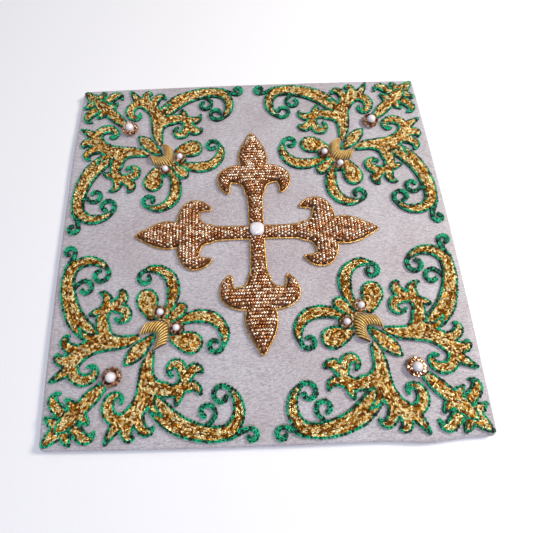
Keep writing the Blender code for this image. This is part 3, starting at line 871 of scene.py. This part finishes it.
class PALL_OT_stitching(bpy.types.Operator):
    """The chain stitch of the four corners: green lines round rows of gold"""

    bl_idname = "pall.stitching"
    bl_label = "Chain stitch"

    def execute(self, context):
        looks = context.scene.pall_stitch
        finishes = [
            # Rayon floss: soft gloss along the thread; its lit and shaded greens, mixed at random by
            # link and fleck, are painted highlight and painted shade of the links
            spun_thread("rayon_floss_green", [looks.green_shade, looks.green],
                        roughness=0.34, metallic=0.0, grain=0.9, bump=0.08),
            # Metallised thread: its light tone paints bright glints where the flat foil would turn
            # to the light, its dark tone paints shade in the gaps; both fall at random by link and
            # fleck
            spun_thread("metallised_thread_gold",
                        [looks.gold_shade, looks.gold, looks.gold_light],
                        roughness=0.28, metallic=0.70, grain=0.9, bump=0.06),
            # The same threads packed under the stitches, coloured dark as painted shade where little
            # light comes
            spun_thread("rayon_floss_green_painted_shade", [linear("#010F0A"), linear("#012A1C")],
                        roughness=0.8, metallic=0.0, grain=0.8, bump=0.05),
            spun_thread("metallised_thread_gold_painted_shade", [linear("#3E1E04"), linear("#8E5614")],
                        roughness=0.5, metallic=0.4, grain=0.8, bump=0.05),
        ]
        width, pitch = looks.chain_width / MM, looks.chain_link / MM
        gold_row, gold_pitch = looks.gold_row / MM, looks.gold_link / MM
        threads = [
            # a link's length and width, thickness of the thread, its sides, height, looseness
            ((pitch * LINK_OVERLAP, width), 0.48, 5, 0.58, 0.13),
            ((gold_pitch * LINK_OVERLAP, gold_row * GOLD_WIDTH), 0.41, 4, 0.62, 0.26),
        ]
        plans = {
            name: self.plan(*area, width, pitch, gold_row, gold_pitch)
            for name, area in worked_areas().items()
        }
        for number, (corner, signs) in enumerate(CORNERS.items()):
            for kind, (name, ending, swapped) in enumerate(WORKED):
                rows, beds = plans[name]
                parts = [
                    (in_corner(points, signs, swapped), groups, finish, False)
                    for finish, points, groups in beds
                ]
                for finish, (row, thread) in enumerate(zip(rows, threads)):
                    seed = 100 * number + 10 * kind + finish
                    points, groups = chain_links(*row, *thread, seed)
                    parts.append((in_corner(points, signs, swapped), groups, finish, True))
                node = f"{name}_{corner}{ending}"
                add_piece(node + "_stitches", parts, finishes, node)
        return {"FINISHED"}

    def plan(self, own, over, veins, width, pitch, gold_row, gold_pitch):
        """Where the links of one worked area go, green and gold, and the beds under them."""
        reach = CORNER_REACH
        cut = np.maximum(own, over)
        edges = loops_at(own, -EDGE_LINE * width, reach)
        lines = [(line, True, over, EDGE_CLEAR) for line in edges]
        lines += [(line, False, cut, VEIN_CLEAR) for line in veins]
        green = []
        for line, closed, cover, clear in lines:
            places, along = stepped(line, pitch, closed)
            seen = value_at(cover, reach, places) < -clear
            green.append((places[seen], along[seen]))
        gold_field = np.maximum(own + GOLD_START * width, over + GOLD_CLEAR)
        for line in veins:
            points = np.column_stack([line, np.full(len(line), VEIN_HALF * width)])
            gold_field = np.maximum(gold_field, -field(points, reach))
        gold = []
        level = -FIRST_ROW * gold_row
        while gold_field.min() < level:
            for loop in loops_at(gold_field, level, reach, SHORTEST_ROW):
                gold.append(stepped(loop, gold_pitch, closed=True))
            level -= gold_row
        worked = [np.concatenate(group) for group in zip(*gold)]
        gold.append(self.bare_places(gold_field, *worked, gold_row, gold_pitch))
        rows = [[np.concatenate(group) for group in zip(*links)] for links in (green, gold)]
        beds = [
            (finish, *mound)
            for (finish, inset, low, high), values in zip(BEDS, (cut, gold_field))
            for mound in bed(values, inset, ON_CLOTH + low, ON_CLOTH + high)
        ]
        return rows, beds

    def bare_places(self, gold_field, worked, ways, gold_row, gold_pitch):
        """Links for where the rows leave the middle of a stroke bare, each as its neighbour lies."""
        i, j = np.nonzero(gold_field < -BARE_INSET)
        deepest_first = np.argsort(gold_field[i, j], kind="stable")
        bare = np.column_stack([CORNER_REACH[i], CORNER_REACH[j]])[deepest_first]
        apart = np.linalg.norm(bare[:, None] - worked[None], axis=2)
        still_bare = apart.min(axis=1) > BARE_ROW * gold_row
        places, along = [], []
        for place, way in zip(bare[still_bare], ways[apart.argmin(axis=1)][still_bare]):
            if all(np.hypot(*(other - place)) > BARE_LINK * gold_pitch for other in places):
                places.append(place)
                along.append(way)
        return np.array(places).reshape(-1, 2), np.array(along).reshape(-1, 2)


def cross_field():
    """The cross's spine, its grid and its field."""
    arm = spine(CROSS_ARM)
    pair = np.concatenate([arm, arm * [1, -1, 1]])
    lying = np.concatenate([pair, pair * [-1, 1, 1]])
    points = np.concatenate([lying, lying[:, [1, 0, 2]]])
    span = ARM_LENGTH + 3 * GRID_STEP
    reach = np.arange(-span, span, GRID_STEP)
    return points, reach, field(points, reach)


PURL_SIDES = 8
# A bead of check purl: place as a share of its length, share of its radius there
PURL_SHAPE = [(-0.5, 0.42), (-0.28, 1.0), (0.28, 1.0), (0.5, 0.42)]
PURL_RADIUS = 0.49  # of the distance between rows
PURL_SUNK = 0.12  # how far the middle of a bead lies under the face of the solid
# The padding that shows between the beads: insets of its loops, its depth under the face
PADDING_INSETS = (0.35, 0.8, 1.3, 1.9)
PADDING_DEPTH = 0.3
PADDING_FOOT = (-0.4, 1.0)  # bottom and top of its side, from the level ON_CLOTH
PADDING_TOLERANCE = 0.07
SHAFT_HALF = 3.3  # the side arms' rows start this far from the crossing
FEWEST_ACROSS = 3.0  # a row near the crossing goes this far to each side
MOST_BEADS = 20  # to each side of an arm's middle


def purl_beads(places, along, heights, length, radius, seed):
    """Short barrels of check purl, each along its row."""
    hand = np.random.default_rng(seed)
    count = len(places)
    start = hand.uniform(0, 2 * math.pi, count)
    size = radius * hand.uniform(0.9, 1.06, count)
    turns = start[:, None] + 2 * math.pi * np.arange(PURL_SIDES)[None, :] / PURL_SIDES
    heights = (heights + hand.uniform(-0.05, 0.05, count))[:, None]
    rings = [
        rings_across(
            places + along * (share * length), along, heights, (size * grown)[:, None], turns
        )
        for share, grown in PURL_SHAPE
    ]
    index, quads = tube_faces(len(PURL_SHAPE), PURL_SIDES)
    groups = [
        repeated(faces, count, index.size) for faces in (quads, index[:1, ::-1], index[-1:])
    ]
    return np.stack(rings, axis=1).reshape(-1, 3), groups


class PALL_OT_cross(bpy.types.Operator):
    """The padded cross under rows of check purl"""

    bl_idname = "pall.cross"
    bl_label = "Cross"

    def execute(self, context):
        looks = context.scene.pall_purl
        points, reach, values = cross_field()
        within_cord = CROSS_CORD + GAP
        edge = max(loops_at(values, -within_cord, reach), key=len)
        edge = thinned(edge, PADDING_TOLERANCE)
        padding = points - [0, 0, within_cord]
        depths, rises = zip(*PADDING)
        loops = [at_height(edge, ON_CLOTH + height) for height in PADDING_FOOT]
        for inset in PADDING_INSETS:
            height = ON_CLOTH + float(np.interp(inset, depths, rises)) - PADDING_DEPTH
            loops.append(at_height(drawn_in(edge, padding, inset), height))
        points, groups = skin(loops)
        parts = [(points + CROSS_AT, groups, 1, True)]

        rim = stepped(edge, 0.2, closed=True)[0]
        row, bead = looks.purl_row / MM, looks.purl_bead / MM
        for quarter in range(4):
            upright = quarter % 2 == 1
            first = 0.5 * row if upright else SHAFT_HALF + 0.5 * row
            found = []
            for number, far_along in enumerate(np.arange(first, ARM_LENGTH, row)):
                offs = (np.arange(-MOST_BEADS, MOST_BEADS + 1) + 0.5 * (number % 2)) * bead
                most = max(far_along, FEWEST_ACROSS)
                found += [(far_along, off) for off in offs if abs(off) < most]
            found = np.array(found)
            turn = quarter * math.pi / 2
            forward = np.array([math.cos(turn), math.sin(turn)])
            sideways = np.array([-forward[1], forward[0]])
            places = found[:, :1] * forward + found[:, 1:] * sideways
            places = places[value_at(values, reach, places) < -within_cord]
            depth = np.linalg.norm(places[:, None] - rim[None], axis=2).min(axis=1)
            points, groups = purl_beads(
                places,
                np.broadcast_to(sideways, places.shape),
                ON_CLOTH + np.interp(depth, depths, rises) - PURL_SUNK,
                bead,
                PURL_RADIUS * row,
                50 + quarter,
            )
            parts.append((points + CROSS_AT, groups, 0, True))
        # Check purl: square-wound wire, cut short, so every facet is a small mirror; its shade and
        # light tones, mixed at random, are painted shade and painted glints
        rose = spun_thread("rose_gilt_check_purl",
                           [looks.rose_shade, looks.rose, looks.rose_light],
                           roughness=0.26, metallic=0.85, grain=0.9, bump=0.03, ply=0.25)
        # Cotton padding thread, seen only between the beads: its dull dark colour is painted shade
        under = spun_thread("rose_padding_painted_shade", [linear("#5A3420"), linear("#8A5A3A")],
                            roughness=0.7, metallic=0.2, grain=0.8, bump=0.05)
        cross = add_piece("cross_purl", parts, [rose, under], "cross")
        return {"FINISHED"}


CORD_STEP = 0.24
CORD_SIDES = 8
CORD_TWIST = 1.7  # length of one full twist
CORD_CORE, CORD_PLY = 0.90, 0.22  # shares of its radius that are round, and that the plies add


class PALL_OT_cross_cord(bpy.types.Operator):
    """The twisted cord couched round the cross"""

    bl_idname = "pall.cross_cord"
    bl_label = "Cross cord"

    def execute(self, context):
        looks = context.scene.pall_purl
        _, reach, values = cross_field()
        loop = max(loops_at(values, -CROSS_CORD / 2, reach), key=len)
        places, along = stepped(loop, CORD_STEP, closed=True)
        count = len(places)
        twists = round((count - 1) * CORD_STEP / CORD_TWIST)
        phase = 2 * math.pi * twists * np.arange(count) / count
        turns = 2 * math.pi * np.arange(CORD_SIDES) / CORD_SIDES
        ply = np.abs(np.cos(turns[None, :] - phase[:, None]))
        radius = CROSS_CORD / 2 * (CORD_CORE + CORD_PLY * ply)
        rings = rings_across(places, along, ON_CLOTH + CROSS_CORD / 2, radius, turns)
        points, groups = skin(rings, round_shut=True)
        # Two plies of gilt thread laid into a cord; its darker and lighter tones, mixed at random,
        # are painted shade and painted highlight
        gilt = spun_thread("gilt_cord_twisted", [linear("#B98434"), looks.cord],
                           roughness=0.30, metallic=0.75, grain=0.6, bump=0.04, ply=0.25)
        add_piece("cross_cord_twist", [(points + CROSS_AT, groups, 0, True)], [gilt],
                  "cross_cord")
        return {"FINISHED"}


WRAP_STEPS = 10  # rings of points in each wrap of a collar
WRAP_SIDES = 16  # points over its arch
GROOVE = 0.30  # depth between two wraps, as a share of the wrap
GROOVE_SHARPNESS = 0.6
ARCH_FULLNESS = 0.85  # below 1 fills the shoulders of the arch
# Painted shade: groove faces deeper than this take the dark finish
GROOVE_SHADE_FROM = 0.45  # share of the groove's depth from which it is dark


class PALL_OT_collars(bpy.types.Operator):
    """The bullion collars where branches, leaf and flower meet"""

    bl_idname = "pall.collars"
    bl_label = "Collars"

    def execute(self, context):
        looks = context.scene.pall_purl
        rings = 2 * COLLAR_WRAPS * WRAP_STEPS + 1
        share = np.arange(rings) / WRAP_STEPS
        size = 1 - GROOVE * (1 - np.abs(np.sin(math.pi * share)) ** GROOVE_SHARPNESS)
        arch = math.pi * np.arange(WRAP_SIDES) / (WRAP_SIDES - 1)
        loops = []
        for ends, grown in zip(collar_wraps(rings), size):
            middle = (ends[:2] + ends[2:]) / 2
            half = (ends[:2] - ends[2:]) / 2 * grown
            rise = ON_CLOTH + COLLAR_HEIGHT * grown * np.sin(arch) ** ARCH_FULLNESS
            loops.append(at_height(middle + half * np.cos(arch)[:, None], rise))
        points, groups = skin(loops)
        in_shaded_groove = np.minimum(size[1:], size[:-1]) < 1 - GROOVE_SHADE_FROM * GROOVE
        finish = [np.repeat(in_shaded_groove.astype(int), WRAP_SIDES), 1, 1]
        # Bullion: bright wire coiled tight, so each wrap has one long hard highlight
        bullion = spun_thread("gilt_bullion_coiled", [linear("#E2A040"), looks.bullion],
                              roughness=0.22, metallic=0.20, grain=0.8, bump=0.010)
        # Painted shade: the same wire deep between two wraps is given a dark colour
        between = spun_thread("gilt_bullion_painted_shade", [linear("#3A1E04"), linear("#6A3E0C")],
                              roughness=0.45, metallic=0.4, grain=0.8, bump=0.015)
        for corner, signs in CORNERS.items():
            node = f"collar_{corner}"
            add_piece(node + "_bullion", [(in_corner(points, signs), groups, finish, True)],
                      [bullion, between], node)
        return {"FINISHED"}


def ball(radius, sides, bands, shape=1.0, squareness=2.0):
    """A ball about the origin, flattened by shape, with an outline that may be squarer."""
    turns = 2 * math.pi * np.arange(sides) / sides
    c, s = np.cos(turns), np.sin(turns)
    stretch = (np.abs(c) ** squareness + np.abs(s) ** squareness) ** (-1 / squareness)
    loops = []
    for band in range(1, bands):
        tilt = math.pi * band / bands
        size = radius * math.sin(tilt) * stretch
        rise = -shape * radius * math.cos(tilt)
        loops.append(np.stack([size * c, size * s, np.full(sides, rise)], axis=1))
    return skin(loops)


class PALL_OT_pearls(bpy.types.Operator):
    """The pearls, and the one on the crossing"""

    bl_idname = "pall.pearls"
    bl_label = "Pearls"

    def execute(self, context):
        coat = glass_pearl(context.scene.pall_pearl)
        for node in sorted(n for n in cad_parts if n.startswith("pearl_")):
            low, high = corners_of(node)
            points, groups = ball((high - low)[2] / 2, sides=32, bands=20)
            points = points + (low + high) / 2
            add_piece(node + "_bead", [(points, groups, 0, True)], [coat], node)
        low, high = corners_of("cabochon")
        points, groups = ball((high - low)[0] / 2, sides=40, bands=24, shape=0.52, squareness=2.5)
        middle_height = 0.95
        points[:, 2] = np.maximum(points[:, 2] + low[2] + middle_height, low[2])
        points[:, :2] += (low + high)[:2] / 2
        add_piece("cabochon_bead", [(points, groups, 0, True)], [coat], "cabochon")
        return {"FINISHED"}


CROWN_LEVELS = [
    # size of a bead, radius of the ring, height in beads: shares of the solid's
    (1.0, 1.06, 0.95),
    (0.80, 0.90, 1.95),
]


class PALL_OT_crowns(bpy.types.Operator):
    """The rings of cut purl that the pearls sit in"""

    bl_idname = "pall.crowns"
    bl_label = "Crowns"

    def execute(self, context):
        # Cut beads of rose-gilt wire: the dark and light tones, mixed at random, are painted shade
        # and painted glints of the facets
        rose = spun_thread("rose_gilt_cut_bead",
                           [linear("#5A3018"), linear("#BA8058"), linear("#F6D2B4")],
                           roughness=0.24, metallic=0.85, grain=0.8, bump=0.03)
        for node in sorted(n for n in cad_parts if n.startswith("crown_")):
            ring, bead, beads = CROWNS["large" if node.endswith("_tip") else "small"]
            low, high = corners_of(node)
            middle = (low + high) / 2
            parts = []
            hand = np.random.default_rng(sum(map(ord, node)))
            for level, (size, out, rise) in enumerate(CROWN_LEVELS):
                for k in range(beads):
                    turn = 2 * math.pi * (k + 0.5 * level) / beads + hand.uniform(-0.05, 0.05)
                    radius = bead * size * hand.uniform(0.92, 1.08)
                    points, groups = ball(radius, sides=7, bands=5)
                    place = ring * out * np.array([math.cos(turn), math.sin(turn)])
                    height = low[2] + bead * rise
                    points = points + [middle[0] + place[0], middle[1] + place[1], height]
                    parts.append((points, groups, 0, False))
            add_piece(node + "_beads", parts, [rose], node)
        return {"FINISHED"}


FLOOR_REACH = 1.5  # in metres, as are the places below
LIGHTS = [
    # name, place, width, power as a share of the key's, colour
    ("key", (0.42, 0.11, 0.42), 0.16, 1.0, "#FFF8EC"),
    ("fill", (-0.34, 0.34, 0.46), 0.30, 0.24, "#F6F3FA"),
    ("front", (0.05, -0.32, 0.50), 0.16, 0.50, "#E6E9FF"),
]
CAMERA_AT = (-0.00882, -0.07208, 0.15761)
CAMERA_TURN = (20.555, 0.676, -1.892)  # degrees


class PALL_OT_studio(bpy.types.Operator):
    """The floor, the lights and the camera"""

    bl_idname = "pall.studio"
    bl_label = "Studio"

    def execute(self, context):
        looks = context.scene.pall_studio
        mesh = bpy.data.meshes.new("floor")
        far = FLOOR_REACH
        corners = [(-far, -far, 0), (far, -far, 0), (far, far, 0), (-far, far, 0)]
        mesh.from_pydata(corners, [], [(0, 1, 2, 3)])
        mesh.materials.append(paper_floor(looks.floor))
        new_object("floor", mesh)

        world = bpy.data.worlds.new("studio")
        bpy.context.scene.world = world
        world.use_nodes = True
        tree = world.node_tree
        sky = tree.nodes["Background"]
        fill(tree, sky, {"Color": linear("#E4E8F2", 1.0), "Strength": 0.30})
        # A key from the right and a little behind, a weak fill, a cool one in front
        for name, place, size, share, colour in LIGHTS:
            lamp = bpy.data.lights.new(name, "AREA")
            lamp.size = size
            lamp.energy = looks.key_strength * share
            lamp.color = linear(colour)
            light = new_object(name, lamp)
            light.location = place
            aim = -np.array(place)
            aim /= np.linalg.norm(aim)
            light.rotation_euler = (math.acos(-aim[2]), 0.0, math.atan2(-aim[0], aim[1]))

        lens = bpy.data.cameras.new("camera")
        lens.lens = 26.75
        lens.sensor_width = 36.0
        lens.sensor_fit = "HORIZONTAL"
        lens.shift_x = 0.0554
        lens.clip_start = 0.005
        camera = new_object("camera", lens)
        camera.location = CAMERA_AT
        camera.rotation_euler = [math.radians(angle) for angle in CAMERA_TURN]
        bpy.context.scene.camera = camera
        bpy.context.scene.view_settings.view_transform = "Standard"
        return {"FINISHED"}


class PALL_PT_panel(bpy.types.Panel):
    """A button for each piece, and its settings"""

    bl_idname = "PALL_PT_panel"
    bl_label = "Chalice pall"
    bl_space_type = "VIEW_3D"
    bl_region_type = "UI"
    bl_category = "Pall"

    def draw(self, context):
        for operator in OPERATORS:
            self.layout.operator(operator.bl_idname)
        for name, group in SETTINGS.items():
            box = self.layout.box()
            for setting in group.__annotations__:
                box.prop(getattr(context.scene, name), setting)


SETTINGS = {
    "pall_satin": SatinSettings,
    "pall_stitch": StitchSettings,
    "pall_purl": PurlSettings,
    "pall_pearl": PearlSettings,
    "pall_studio": StudioSettings,
}
OPERATORS = [
    PALL_OT_cloth,
    PALL_OT_stitching,
    PALL_OT_cross,
    PALL_OT_cross_cord,
    PALL_OT_collars,
    PALL_OT_crowns,
    PALL_OT_pearls,
    PALL_OT_studio,
]


def register():
    for group in [*SETTINGS.values(), *OPERATORS, PALL_PT_panel]:
        bpy.utils.register_class(group)
    for name, group in SETTINGS.items():
        setattr(bpy.types.Scene, name, bpy.props.PointerProperty(type=group))


def unregister():
    for name in SETTINGS:
        delattr(bpy.types.Scene, name)
    for group in reversed([*SETTINGS.values(), *OPERATORS, PALL_PT_panel]):
        bpy.utils.unregister_class(group)


def main():
    register()
    bpy.ops.pall.cloth()
    bpy.ops.pall.stitching()
    bpy.ops.pall.cross()
    bpy.ops.pall.cross_cord()
    bpy.ops.pall.collars()
    bpy.ops.pall.crowns()
    bpy.ops.pall.pearls()
    bpy.ops.pall.studio()


if __name__ == "__main__":
    main()
